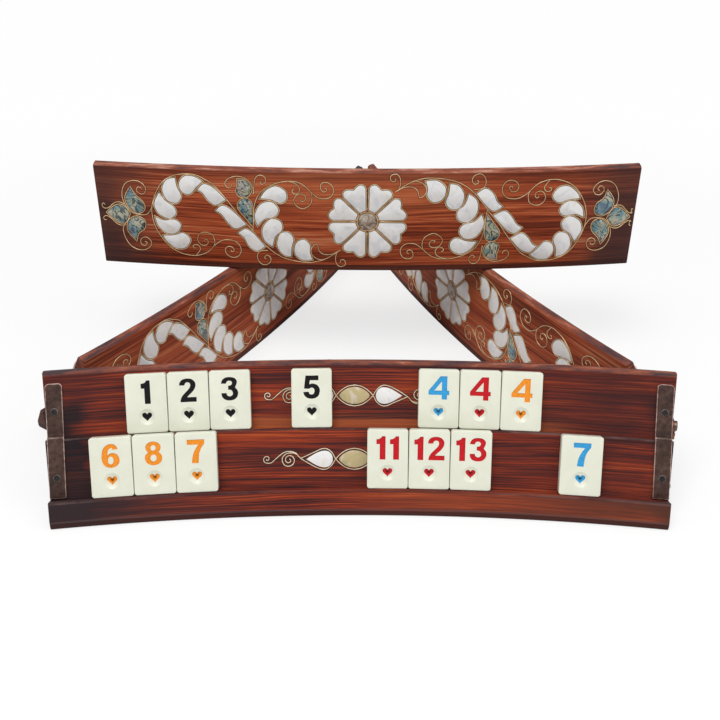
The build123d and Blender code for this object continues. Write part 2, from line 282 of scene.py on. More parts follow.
def rosewood(rack):
    """Streaked red-brown wood along the bend, burnt black beside the bars, lighter on the back; with painted
    highlights on the upper ledge, the edges of the lower nose, apron and lip and the crest, and painted shade
    above the upper ledge and on the lip's foot.
    """
    wood = Finish(f"rosewood_{rack}", Coat_Weight=0.02, Coat_Roughness=0.25, Specular_IOR_Level=0.09)
    stand, shaded = PLACES[rack], BACK_SHADE[rack]
    x, y, height = wood.parts(wood.node("ShaderNodeMapping", wood.place(), stand.translation,
                                        stand.to_euler(), vector_type="TEXTURE"))
    inward = y + BEND_RADIUS
    along = x.maths("ARCTAN2", inward) * BEND_RADIUS
    depth = (x * x + inward * inward) ** 0.5 - BEND_RADIUS
    seed = RACKS.index(rack) * 3.7

    def drift(rate_along, rate_up, rate_in, rise=height, detail=3, roughness=0.55):
        place = wood.vector(along * rate_along + seed, rise * rate_up, depth * rate_in)
        return wood.noise(place, detail=detail, roughness=roughness)

    grain = height + depth * 0.35 + drift(6, 18, 18, roughness=0.5) * 0.009
    bands = drift(6, 75, 25, grain)
    ribbons = drift(8, 330, 40, grain)
    streaks = drift(10, 1200, 60, grain, 4, 0.6)
    fibres = drift(50, 2400, 180, grain, 3, 0.6)
    burn = drift(24, 50, 50, detail=2, roughness=0.5)
    # One noise breaks up both the worn look and the painted highlights of the edges and crest.
    wear_and_highlight = drift(40, 60, 260, detail=5, roughness=0.65)
    tone = bands * 0.4 + ribbons * 0.28 + streaks * 0.6 + fibres * 0.26 - 0.27
    stained = wood.ramp(tone, (0.4, 0.036, 0.013, 0.014), (0.47, 0.112, 0.02, 0.014),
                        (0.54, 0.208, 0.028, 0.013), (0.61, 0.33, 0.054, 0.016), (0.69, 0.48, 0.112, 0.03))
    lighter = wood.ramp(tone * 1.35 - 0.175, (0.38, 0.1, 0.019, 0.009), (0.46, 0.226, 0.039, 0.014),
                        (0.54, 0.35, 0.067, 0.023), (0.62, 0.445, 0.104, 0.038), (0.72, 0.52, 0.22, 0.11))
    left, right = 0 - along, along
    reach = left.maths("MAXIMUM", right)
    edge = (burn - 0.5) * 0.05
    left_edge, right_edge = left + edge, right + edge

    is_back = depth.past(58, 63)
    on_tier = depth.between(LOWER_NOSE[0] + 3 * MM, LOWER_NOSE[0] + 5 * MM)
    is_upper = on_tier * (1 - is_back)
    is_lower = (1 - is_upper) * (1 - is_back)
    is_apron = (1 - height.past(15.6, 17.2)) * (1 - depth.past(8, 9))
    middle = is_upper * (1 - reach.past(110, 150))
    up = height - UPPER_LEDGE[1]
    # Painted highlight on the upper ledge and the foot of the upper face, and painted shade a little above
    # it, in the middle of the rack.
    foot = middle * (1 - up.past(4, 8))
    above = middle * up.past(6, 8) * (1 - up.past(10, 15))
    shade = is_upper * right.past(70, 150) * 0.5 + is_lower * right.past(60, 150) * 0.3
    patches = (left.past(120, 186) + right.past(110, 180) * 1.3) * 0.34 * burn.between(0.36, 0.6)
    ends = left_edge.past(158, 181) * 0.95 + right_edge.past(172, 192) * 0.65
    ends = ends * (1 - height.past(54, 66) * 0.8) + is_lower * left_edge.past(144, 182) * 0.75
    burnt = (patches + ends) * (1 - is_back * (0.9 - 0.45 * shaded))
    glow = is_back * (1 - reach.past(30, 120)) * height.past(40, 60)
    # Painted highlights, broken up as if worn, along the lower nose and the top edge of the apron.
    arris = wood.ramp(wear_and_highlight + reach * 0.9, (0.52, 0.026, 0.018, 0.021), (0.7, 0.125, 0.076, 0.072))
    nose = is_lower * height.between(LOWER_NOSE[1] - 1.4 * MM, LOWER_NOSE[1] - 0.6 * MM)
    lip = is_apron * height.between(APRON_TOP[1] - 1.9 * MM, APRON_TOP[1] - 1.2 * MM) * (reach * 2 + 0.4)
    # Painted shade on the lip's upright face at the foot, and a darker finish along the top of the back.
    rim = (1 - height.past(4.2, 5.2)) * 0.84 + height.past(66, 78) * is_back * (0.45 * shaded)
    # A painted highlight along the lip's upper edge.
    lip_highlight = is_apron * height.past(4.4, 5) * (1 - height.past(5.6, 6.2))
    # The crest's colour: a painted sheen on the rounded top edge, broken up as if worn.
    crest = wood.ramp(wear_and_highlight - left.past(140, 190) * 0.12 - CREST_WEAR_AND_SHEEN[rack],
                      (0.34, 0.055, 0.04, 0.046), (0.44, 0.15, 0.058, 0.048),
                      (0.54, 0.29, 0.085, 0.048), (0.68, 0.5, 0.27, 0.2))
    colour = wood.mix(is_back, stained, lighter)
    for share, tint in (
            (foot * ribbons.between(0.3, 0.55) * 0.75, (0.3, 0.08, 0.028)),
            (above * bands.between(0.35, 0.6) * 0.6, (0.056, 0.019, 0.017)),
            (shade, (0.05, 0.014, 0.013)),
            (burnt.maths("MINIMUM", 0.9), (0.013, 0.011, 0.014)),
            (is_back * reach.past(135, 192) * (0.7 * shaded), (0.045, 0.022, 0.021)),
            (glow * 0.26, (0.48, 0.15, 0.06)),
            (is_apron * left_edge.past(30, 185) * 0.85, (0.034, 0.021, 0.023)),
            (is_apron * right_edge.past(-40, 60) * 0.22, (0.3, 0.09, 0.04)),
            (nose * 0.85 + lip, arris),
            (rim, (0.04, 0.014, 0.012)),
            (lip_highlight * 0.6, (0.085, 0.052, 0.054)),
            (height.past(77.2, 78.4) * 0.9, crest)):
        colour = wood.mix(share, colour, tint)
    return wood.set(Base_Color=colour, Roughness=0.42 + streaks * 0.18,
                    Normal=wood.bump(streaks + fibres * 0.5, 0.15, 0.3 * MM))


def pearl(name, white, warm, cool, scale, cloudy):
    """Polished shell: nearly even, with soft warm and cool clouds in each plate."""
    shell = Finish(name, Coat_Weight=0.35, Coat_Roughness=0.06, Specular_IOR_Level=0.55)
    clouds = shell.noise(shell.place(), scale, 3, 0.55, 1.2)
    clouds = (clouds - 0.5) * cloudy + 0.5
    veins = shell.noise(shell.place(), 240, 4, 0.6, 2.0)
    colour = shell.ramp(clouds, (0.34, *cool), (0.47, *white), (0.6, *white), (0.72, *warm))
    colour = shell.mix(veins.between(0.52, 0.7) * 0.3, colour, cool)
    return shell.set(Base_Color=colour, Roughness=0.16 + veins * 0.16,
                     Normal=shell.bump(clouds, 0.1, 0.3 * MM))


def abalone():
    """Grey-green shell with a blue sheen and dark swirling growth lines."""
    shell = Finish("abalone", Coat_Weight=0.4, Coat_Roughness=0.06)
    swirl = shell.noise(shell.place(), 62, distortion=1.6)
    rings = (swirl * 52).maths("SINE") * 0.5 + 0.5
    sheen = shell.noise(shell.place(), 78, 3, distortion=1.2)
    colour = shell.ramp(sheen, (0.34, 0.07, 0.125, 0.2), (0.42, 0.13, 0.25, 0.27),
                        (0.48, 0.26, 0.3, 0.225), (0.55, 0.43, 0.42, 0.31),
                        (0.62, 0.34, 0.31, 0.27), (0.7, 0.29, 0.29, 0.34))
    colour = shell.mix(rings.between(0.66, 0.96) * 0.9, colour, (0.012, 0.016, 0.022))
    return shell.set(Base_Color=colour, Roughness=0.18 + sheen * 0.12)


def mottled(name, dark, light, light_at, roughness, spread, scale, detail=3, rough=0.5, bumpy=None,
            **surface):
    """One tone into another over a fine mottle."""
    made = Finish(name, **surface)
    mottle = made.noise(made.place(), scale, detail, rough)
    return made.set(Base_Color=made.ramp(mottle, (0.35, *dark), (light_at, *light)),
                    Roughness=roughness + mottle * spread,
                    Normal=bumpy and made.bump(mottle, bumpy, 0.2 * MM))


def worn_and_lit_metal(name, bumpy, dark, brown, light, edge_dark, edge_light):
    """Dark aged metal, worn bright and with painted highlights where the piece's own attribute says."""
    aged = Finish(name)
    mottle = aged.noise(aged.place(), 360, 6, 0.68)
    patches = aged.noise(aged.place(), 80, 4, 0.6)
    body = aged.ramp(mottle * 0.6 + patches * 0.4, (0.36, *dark), (0.5, *brown), (0.64, *light))
    bright = aged.ramp(mottle, (0.38, *edge_dark), (0.62, *edge_light))
    wear_and_highlight_share = (aged.carried("wear_and_highlight") * (0.35 + patches * 1.3)).between(0.2, 0.95)
    return aged.set(Base_Color=aged.mix(wear_and_highlight_share, body, bright), Metallic=0.3, Roughness=0.58 - wear_and_highlight_share * 0.12,
                    Normal=aged.bump(mottle, bumpy, 0.3 * MM))


def ivory():
    """Cast resin of the tiles: even, faintly clouded, softly glossy."""
    resin = Finish("ivory_resin", Coat_Weight=0.18, Coat_Roughness=0.2, Subsurface_Weight=0.05,
                   Subsurface_Radius=(0.004, 0.003, 0.002), Subsurface_Scale=0.5)
    clouds = resin.noise(resin.place(), 90)
    grit = resin.noise(resin.place(), 2600)
    return resin.set(Base_Color=resin.ramp(clouds, (0.36, 0.705, 0.712, 0.59), (0.64, 0.735, 0.742, 0.622)),
                     Roughness=0.36 + grit * 0.12, Normal=resin.bump(grit, 0.04, 0.1 * MM))


def paint(name, *colour):
    """Enamel in the engraved figures, with painted shade in the pit of a heart."""
    enamel = Finish(f"enamel_{name}", Specular_IOR_Level=0.2)
    mottle = enamel.noise(enamel.place(), 900, 3)
    # The second colour is painted shade for the sunk middle of a heart.
    darker, pit = ([share * part for part in colour] for share in (0.8, 0.16))
    shade = enamel.ramp(mottle, (0.35, *darker), (0.6, *colour))
    return enamel.set(Base_Color=enamel.mix(enamel.carried("deep").between(0.35, 0.85), shade, pit),
                      Roughness=0.4 + mottle * 0.15)


WOOD = {rack: rosewood(rack) for rack in RACKS}
PEARL = pearl("mother_of_pearl", (0.78, 0.775, 0.765), (0.77, 0.72, 0.65), (0.68, 0.685, 0.7), 100, 1.25)
GOLD_PEARL = pearl("golden_pearl", (0.49, 0.39, 0.2), (0.6, 0.52, 0.42), (0.38, 0.35, 0.18), 78, 1.8)
OLIVE_PEARL = pearl("olive_pearl", (0.37, 0.3, 0.23), (0.5, 0.44, 0.38), (0.19, 0.14, 0.11), 210, 2.2)
ABALONE = abalone()
BRASS = mottled("brass_wire", (0.6, 0.37, 0.165), (0.88, 0.62, 0.34), 0.62, 0.3, 0.25, 130, Metallic=0.35)
PALE_BRASS = mottled("pale_brass_wire", (0.72, 0.55, 0.36), (0.95, 0.82, 0.6), 0.62, 0.3, 0.25, 130,
                     Metallic=0.35)
# Dark filler of the inlay, which also stands in as painted shade beside the wires and round the plates.
FILLER_AND_SHADE = mottled("inlay_filler_and_shade", (0.018, 0.008, 0.007), (0.06, 0.02, 0.013), 0.65, 0.55, 0.2, 700,
                 Specular_IOR_Level=0.2)
HOOK_COPPER = mottled("hook_copper", (0.11, 0.045, 0.032), (0.3, 0.13, 0.085), 0.65, 0.34, 0.15, 300, 4,
                      0.6, 0.12, Metallic=0.85)
BRONZE = mottled("bronze", (0.1, 0.065, 0.055), (0.28, 0.195, 0.165), 0.65, 0.32, 0.15, 300, 4, 0.6, 0.12,
                 Metallic=0.85)
COPPER = worn_and_lit_metal("antique_copper", 0.22, (0.02, 0.009, 0.006), (0.058, 0.025, 0.018),
                      (0.105, 0.055, 0.042), (0.34, 0.205, 0.165), (0.76, 0.57, 0.49))
DARK_STEEL = worn_and_lit_metal("dark_steel", 0.1, (0.006, 0.006, 0.006), (0.018, 0.016, 0.015),
                          (0.04, 0.036, 0.033), (0.16, 0.13, 0.12), (0.34, 0.29, 0.27))
IVORY = ivory()
PAINTS = {name: paint(name, *colour) for name, *colour in (
    ("black", 0.006, 0.005, 0.006), ("orange", 0.87, 0.285, 0.022), ("red", 0.55, 0.009, 0.016),
    ("blue", 0.04, 0.34, 0.68))}


# ---- making pieces ----
SLIGHT, SHARP, SQUARE = 0.2, 0.9, 1.2       # radians that the two faces at an edge turn by, at least


def placed(name, data):
    """A new object of the scene."""
    made = bpy.data.objects.new(name, data)
    bpy.context.scene.collection.objects.link(made)
    return made


def opened(mesh):
    """A bmesh of this mesh."""
    bm = bmesh.new()
    bm.from_mesh(mesh)
    return bm


def kept(bm, name="pattern"):
    """A mesh of this bmesh, which is freed."""
    mesh = bpy.data.meshes.new(name)
    bm.to_mesh(mesh)
    bm.free()
    return mesh


def join(bm, other):
    """Add another bmesh to this one, and free it."""
    held = kept(other, "join_work")
    bm.from_mesh(held)
    bpy.data.meshes.remove(held)


def finish_piece(bm, name, material, body, replaces=(), smooth=True):
    """Turn a finished bmesh in the set's frame into a piece that rides on a body."""
    mesh = kept(bm, name)
    mesh.materials.append(material)
    for face in mesh.polygons:
        face.use_smooth = smooth
    if smooth:
        mesh.set_sharp_from_angle(angle=radians(32))
    piece = placed(name, mesh)
    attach(piece, body)
    if replaces:
        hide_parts(*replaces)


def turn_outwards(bm):
    """Turn every face outwards, going by where the vertices are now."""
    bm.normal_update()
    bmesh.ops.recalc_face_normals(bm, faces=bm.faces)


def move(bm, change):
    """Put every vertex through a function, or a matrix, that mirrors nothing."""
    for vertex in bm.verts:
        vertex.co = change @ vertex.co if isinstance(change, Matrix) else change(vertex.co)


def rack_piece(bm, rack, name, material, slot, *nodes):
    """Finish a piece that was made in its rack's own frame."""
    move(bm, PLACES[rack])
    finish_piece(bm, f"{rack}_{name}", material, f"{rack}_rack_body",
                 [f"{rack}_{node}" for node in nodes])


def shift(bm, verts, *by):
    bmesh.ops.translate(bm, vec=by, verts=verts)


def corners_of(geom):
    """The vertices among new geometry."""
    return [part for part in geom if isinstance(part, bmesh.types.BMVert)]


def extrude(bm, faces, *by):
    """Extrude faces by a distance, and return the new geometry."""
    geom = bmesh.ops.extrude_face_region(bm, geom=faces)["geom"]
    shift(bm, corners_of(geom), *by)
    return geom


def fill_holes(bm):
    bmesh.ops.holes_fill(bm, edges=[edge for edge in bm.edges if edge.is_boundary])


def ease(bm, edges, offset, segments=2):
    """Round edges over."""
    bmesh.ops.bevel(bm, geom=edges, offset=offset, offset_type="OFFSET", affect="EDGES", segments=segments,
                    profile=0.5, material=-1, clamp_overlap=True)


def sharp_edges(bm, angle):
    return [edge for edge in bm.edges if edge.is_manifold and edge.calc_face_angle(0) > angle]


def middle_of(edge):
    return (edge.verts[0].co + edge.verts[1].co) / 2


def plate(bm, outline, thickness, rounding):
    """A flat plate on z = 0 with this outline, its upper edge eased."""
    face = bm.faces.new([bm.verts.new((x, y, 0)) for x, y in outline])
    grown_parts = extrude(bm, [face], 0, 0, thickness)
    if rounding:
        ease(bm, [part for part in grown_parts if isinstance(part, bmesh.types.BMEdge)], rounding)


def smooth_line(points, closed=False, steps=5):
    """Points on a smooth line through the given ones."""
    points = [Vector(point) for point in points]
    count = len(points)
    made = []
    for index in range(count if closed else count - 1):
        before, start, end, after = (points[place % count if closed else min(max(place, 0), count - 1)]
                                     for place in range(index - 1, index + 3))
        for step in range(steps):
            t = step / steps
            made.append(0.5 * (2 * start + (end - before) * t
                               + (2 * before - 5 * start + 4 * end - after) * t * t
                               + (3 * start - before - 3 * end + after) * t ** 3))
    return made if closed else made + [points[-1]]


def in_metres(points):
    return [point * TENTH for point in points]


def pairs(numbers):
    return list(zip(numbers[::2], numbers[1::2]))


def drawn(points, steps=5):
    """A closed outline in metres, smooth through its points; a third number marks a sharp corner."""
    flat = [Vector(point[:2]) for point in points]
    corners = [place for place, point in enumerate(points) if len(point) == 3]
    if not corners:
        return in_metres(smooth_line(flat, closed=True, steps=steps))
    loop = flat + flat[:1]
    line = []
    for start, end in zip(corners, [*corners[1:], len(points)]):
        line += smooth_line(loop[start:end + 1], steps=1 if end == start + 1 else steps)[:-1]
    return in_metres(line)


def round_outline(steps, point_at):
    """A closed outline from a function of the turn."""
    return [Vector(point_at(2 * pi * step / steps)) for step in range(steps)]


def grown(outline, distance):
    """The outline moved outwards by a distance."""
    around = list(zip(outline[-1:] + outline[:-1], outline, outline[1:] + outline[:1]))
    area = sum(here.cross(after) for _, here, after in around)
    side = 1 if area > 0 else -1
    made = []
    for before, here, after in around:
        coming, going = (here - before).normalized(), (after - here).normalized()
        heading = (coming + going).normalized()
        outward = Vector((heading.y, -heading.x)) * side
        made.append(here + outward * distance / max(0.5, heading.dot(coming)))
    return made


def from_curve(lines, closed, **settings):
    """A bmesh of a curve through these flat lines."""
    curve = bpy.data.curves.new("curve_work", "CURVE")
    for name, value in settings.items():
        setattr(curve, name, value)
    for line in lines:
        spline = curve.splines.new("POLY")
        spline.points.add(len(line) - 1)
        for point, (x, y) in zip(spline.points, line):
            point.co = (x, y, 0, 1)
        spline.use_cyclic_u = closed
    holder = bpy.data.objects.new("curve_work", curve)
    mesh = bpy.data.meshes.new_from_object(holder)
    bm = opened(mesh)
    bpy.data.objects.remove(holder)
    bpy.data.curves.remove(curve)
    bpy.data.meshes.remove(mesh)
    return bm


def round_wires(lines, radius, closed=False):
    return from_curve(lines, closed, dimensions="3D", bevel_depth=radius, bevel_resolution=1,
                      use_fill_caps=not closed)


# ---- rack wood ----
SECTION = ((0.0, 0.0), LIP_TOP, APRON_TOP, LOWER_LEDGE, LOWER_NOSE, UPPER_LEDGE, TOP_FRONT, TOP_BACK,
           (BASE_DEPTH, 0.0))
BEND_STEPS = 84
ARRISES = ((TOP_FRONT, 1.5 * MM), (TOP_BACK, 1.5 * MM), (SECTION[0], 1.6 * MM), (LIP_TOP, 0.9 * MM),
           (APRON_TOP, 0.8 * MM), (LOWER_NOSE, 0.8 * MM), (SECTION[-1], 0.8 * MM))
END_ARRIS = 0.5 * MM
NEAR = 0.3 * MM                 # of an edge to the corner of the section that it runs along


def rack_wood(rack):
    bm = bmesh.new()
    corners = [bm.verts.new(bent((-RACK_LENGTH / 2, *corner))) for corner in SECTION]
    rim = [bm.edges.new((corners[place - 1], corner)) for place, corner in enumerate(corners)]
    bmesh.ops.spin(bm, geom=rim, cent=(0, -BEND_RADIUS, 0), axis=(0, 0, -1), dvec=(0, 0, 0),
                   angle=RACK_LENGTH / BEND_RADIUS, steps=BEND_STEPS, use_merge=False)
    fill_holes(bm)
    turn_outwards(bm)

    def runs_by(edge, corner):
        middle = middle_of(edge)
        depth = hypot(middle.x, middle.y + BEND_RADIUS) - BEND_RADIUS
        return hypot(depth - corner[0], middle.z - corner[1]) < NEAR

    for corner, radius in ARRISES:
        ease(bm, [edge for edge in sharp_edges(bm, SLIGHT) if runs_by(edge, corner)], radius, 4)
    ease(bm, sharp_edges(bm, SQUARE), END_ARRIS)
    rack_piece(bm, rack, "rack_wood", WOOD[rack], "rosewood", "rack")


# ---- end bars and their screws ----
BAR_TOP = UPPER_FACE - BAR_TOP_DROP
BAR_FOLD = leaning(LOWER_NOSE, BAR_THICKNESS, BAR_THICKNESS)
BAR_PROFILE = (leaning(UPPER_LEDGE, 0, BAR_TOP), UPPER_LEDGE, LOWER_NOSE,
               leaning(LOWER_LEDGE, 0, BAR_FOOT_GAP), leaning(LOWER_LEDGE, BAR_THICKNESS, BAR_FOOT_GAP),
               BAR_FOLD, leaning(UPPER_LEDGE, BAR_THICKNESS, BAR_THICKNESS),
               leaning(UPPER_LEDGE, BAR_THICKNESS, BAR_TOP))
BAR_CORNER = 2.4 * MM
BAR_EASE = 0.6 * MM
FOLD_EASE = 1.3 * MM
FOLD_HIGHLIGHT = 0.42                # painted highlight on the fold's rounding, out of 1 on the rims
# How far down from a bar's top its worn look and painted highlight reach, and how far up from its foot it is
# worn bright.
WORN_AND_LIT_TOP, WORN_FOOT = 3 * MM, 1 * MM
SLANT_OUT = 0.75 * MM           # how far a hand-bent bar leans outwards at the foot of each tier
SLANT_IN = 0.6 * MM             # and inwards at its top


def bar_slant(depth, height):
    """How far outwards a bar has to move at a point of its section."""
    if depth > LOWER_NOSE[0] + LEDGE_DEPTH / 2:
        share = (TOP_FRONT[1] - height) / (TOP_FRONT[1] - UPPER_LEDGE[1])
    else:
        share = (LOWER_NOSE[1] - height) / (LOWER_NOSE[1] - LOWER_LEDGE[1])
    return SLANT_OUT * share - SLANT_IN * (1 - share)


def end_bar(rack, side):
    bm = bmesh.new()
    sign = 1 if side == "right" else -1
    left = BAR_MIDDLE * sign - BAR_WIDTH / 2
    extrude(bm, [bm.faces.new([bm.verts.new((left, *corner)) for corner in BAR_PROFILE])], BAR_WIDTH, 0, 0)
    turn_outwards(bm)
    heights = [vertex.co.z for vertex in bm.verts]
    lowest, highest = min(heights), max(heights)

    def crosses_top(edge):
        start, end = (vertex.co for vertex in edge.verts)
        return abs(start.x - end.x) < 1e-6 and min(start.z, end.z) > highest - 2 * MM

    ease(bm, [edge for edge in bm.edges if crosses_top(edge)], BAR_CORNER, 6)
    fold = Vector((left + BAR_WIDTH / 2, *BAR_FOLD))
    ease(bm, [edge for edge in bm.edges if (middle_of(edge) - fold).length < 0.1 * MM], FOLD_EASE, 5)
    ease(bm, sharp_edges(bm, SHARP), BAR_EASE)
    # Share of worn look and painted highlight at each vertex: full on the rims and near the top and foot, a
    # softer painted highlight on the fold's rounding, none on the broad front faces.
    wear_and_highlight = bm.verts.layers.float.new("wear_and_highlight")
    for vertex in bm.verts:
        inside = BAR_WIDTH / 2 - abs(vertex.co.x - fold.x)
        on_rim = inside < BAR_EASE - 0.05 * MM
        if on_rim or not lowest + WORN_FOOT < vertex.co.z < highest - WORN_AND_LIT_TOP:
            vertex[wear_and_highlight] = 1.0
        elif (vertex.co - fold).yz.length < 2 * FOLD_EASE:
            vertex[wear_and_highlight] = FOLD_HIGHLIGHT
    outward = Vector((0, -cos(LEAN), sin(LEAN)))
    for face in bm.faces:
        if face.normal.dot(outward) > 0.99 and face.calc_area() > 1e-4:
            for vertex in face.verts:
                vertex[wear_and_highlight] = 0.0
    move(bm, lambda point: bent(point + Vector((bar_slant(*point.yz) * sign, 0, 0))))
    rack_piece(bm, rack, f"{side}_bar_strip", COPPER, "antique_copper", f"{side}_bar")


SCREW_HEAD = 2.2 * MM
SCREW_RISE = 0.55 * MM
SCREW_SKIRT = 0.6 * MM          # of the head's side, part of it in the bar
CHAMFER_WIDTH = 0.4 * MM
CHAMFER_DROP = 0.35 * MM
SOCKET = 1.2 * MM               # across the corners of the hexagon
SOCKET_DEPTH = 0.45 * MM


def socket_screw():
    screw = bmesh.new()
    wear_and_highlight = screw.verts.layers.float.new("wear_and_highlight")
    brim_radius = SCREW_HEAD - CHAMFER_WIDTH
    socket, brim = (bmesh.ops.create_circle(screw, segments=segments, radius=radius)["verts"]
                    for segments, radius in ((6, SOCKET), (24, brim_radius)))
    shift(screw, screw.verts, 0, 0, SCREW_RISE)
    bmesh.ops.bridge_loops(screw, edges=screw.edges[:])

    def carry_on(drop, wider, picked):
        """Extrude the open edges that are picked downwards."""
        rim = [edge for edge in screw.edges if edge.is_boundary and picked(edge)]
        fresh = corners_of(bmesh.ops.extrude_edge_only(screw, edges=rim)["geom"])
        bmesh.ops.scale(screw, vec=(wider, wider, 1), verts=fresh)
        shift(screw, fresh, 0, 0, -drop)
        return fresh

    # A painted highlight on the chamfer round the head.
    for vertex in carry_on(CHAMFER_DROP, SCREW_HEAD / brim_radius, lambda edge: edge.verts[0] in brim):
        vertex[wear_and_highlight] = 1.0
    carry_on(SOCKET_DEPTH, 1.0, lambda edge: edge.verts[0] in socket)
    carry_on(SCREW_SKIRT, 1.0, lambda edge: edge.verts[0].co.xy.length > brim_radius)
    fill_holes(screw)
    turn_outwards(screw)
    return screw


def bar_screws(rack):
    bm = bmesh.new()
    for side in (-1, 1):
        for corner, up in ((UPPER_LEDGE, UPPER_SCREW), (LOWER_LEDGE, LOWER_SCREW)):
            screw = socket_screw()
            spread = 1 + leaning(corner, 0, up)[0] / BEND_RADIUS
            middle = BAR_MIDDLE + bar_slant(*leaning(corner, 0, up))
            move(screw, face_station(corner, side * middle * spread, up, BAR_THICKNESS))
            join(bm, screw)
    rack_piece(bm, rack, "socket_screws", DARK_STEEL, "dark_steel", "bar_screws")


# ---- latch ----
LATCH = (("hook", "swing_hook", HOOK_COPPER, "hook_body", "copper_hook", 0.22 * MM),
         ("hook_screw", "pivot_screw", BRONZE, "rack_body", "bronze_screw", 0.7 * MM),
         ("keeper_pin", "keeper", BRONZE, "rack_body", "bronze_screw", 0.4 * MM))


def latch(rack):
    """The CAD's hook, screw and keeper, with their edges eased."""
    for node, name, material, body, slot, rounding in LATCH:
        bm = opened(frame["nodes"][f"{rack}_{node}"].data)
        bmesh.ops.remove_doubles(bm, verts=bm.verts, dist=0.005 * MM)
        bmesh.ops.dissolve_limit(bm, angle_limit=radians(1.0), verts=bm.verts, edges=bm.edges)
        turn_outwards(bm)
        ease(bm, sharp_edges(bm, SHARP), rounding)
        finish_piece(bm, f"{rack}_{name}", material, f"{rack}_{body}", [f"{rack}_{node}"])


# ---- inlay on the back ----
# In tenths of a mm, across and up from the flower's middle, seen from behind, on the left half. The right
# half is the same, turned half round. A third number marks a leaf's point.
PEARL_LEAVES = (
    ((-1552, -157, 1), (-1470, -150), (-1395, -130), (-1345, -180), (-1385, -246), (-1455, -255),
     (-1525, -205)),
    ((-1600, -7, 1), (-1535, -32), (-1450, -23), (-1408, -68), (-1450, -129), (-1520, -134), (-1582, -78)),
    ((-1552, 187, 1), (-1510, 126), (-1452, 82), (-1439, 26), (-1492, -16), (-1570, 22), (-1596, 102)),
    ((-1420, 309, 1), (-1412, 240), (-1386, 168), (-1426, 112), (-1495, 134), (-1524, 215), (-1486, 289)),
    ((-1217, 290, 1), (-1275, 324), (-1345, 325), (-1392, 270), (-1378, 205), (-1320, 186), (-1270, 237)),
    ((-1258, 220, 1), (-1206, 269), (-1130, 236), (-1052, 152, 1), (-1130, 109), (-1183, 146), (-1223, 202)),
    ((-1130, 64, 1), (-1076, 106), (-1002, 62), (-908, -39, 1), (-988, -74), (-1043, -30), (-1086, 33)),
    ((-969, -109, 1), (-912, -77), (-848, -120), (-773, -214, 1), (-836, -253), (-895, -212), (-928, -146)),
    ((-792, 170, 1), (-748, 232), (-676, 267), (-608, 234), (-598, 172), (-642, 138), (-720, 165)),
    ((-820, -46, 1), (-840, 30), (-792, 122), (-710, 144), (-661, 88), (-689, 30), (-770, 6)),
    ((-716, -212, 1), (-776, -160), (-784, -68), (-724, 7), (-650, -8), (-639, -76), (-690, -130)),
    ((-576, -292, 1), (-636, -276), (-679, -204), (-656, -112), (-594, -96), (-555, -146), (-571, -220)),
    ((-417, -314, 1), (-488, -319), (-546, -266), (-536, -184), (-476, -152), (-432, -196), (-432, -256)),
)
ABALONE_LEAVES = (
    ((-1770, 213, 1), (-1813, 139), (-1796, 62), (-1735, 19), (-1683, 48), (-1688, 104), (-1746, 166)),
    ((-1972, 9, 1), (-1906, 62), (-1846, 69), (-1798, 12, 1), (-1834, -56), (-1886, -64), (-1938, -26)),
    ((-1770, -204, 1), (-1822, -130), (-1808, -50), (-1744, -14), (-1690, -44), (-1698, -104), (-1750, -146)),
    ((-952, 312, 1), (-890, 302), (-856, 244), (-884, 188), (-936, 180), (-964, 216), (-952, 268)),
    ((-860, -46, 1), (-906, 18), (-958, 92), (-944, 146), (-896, 164), (-860, 128), (-858, 44)),
)
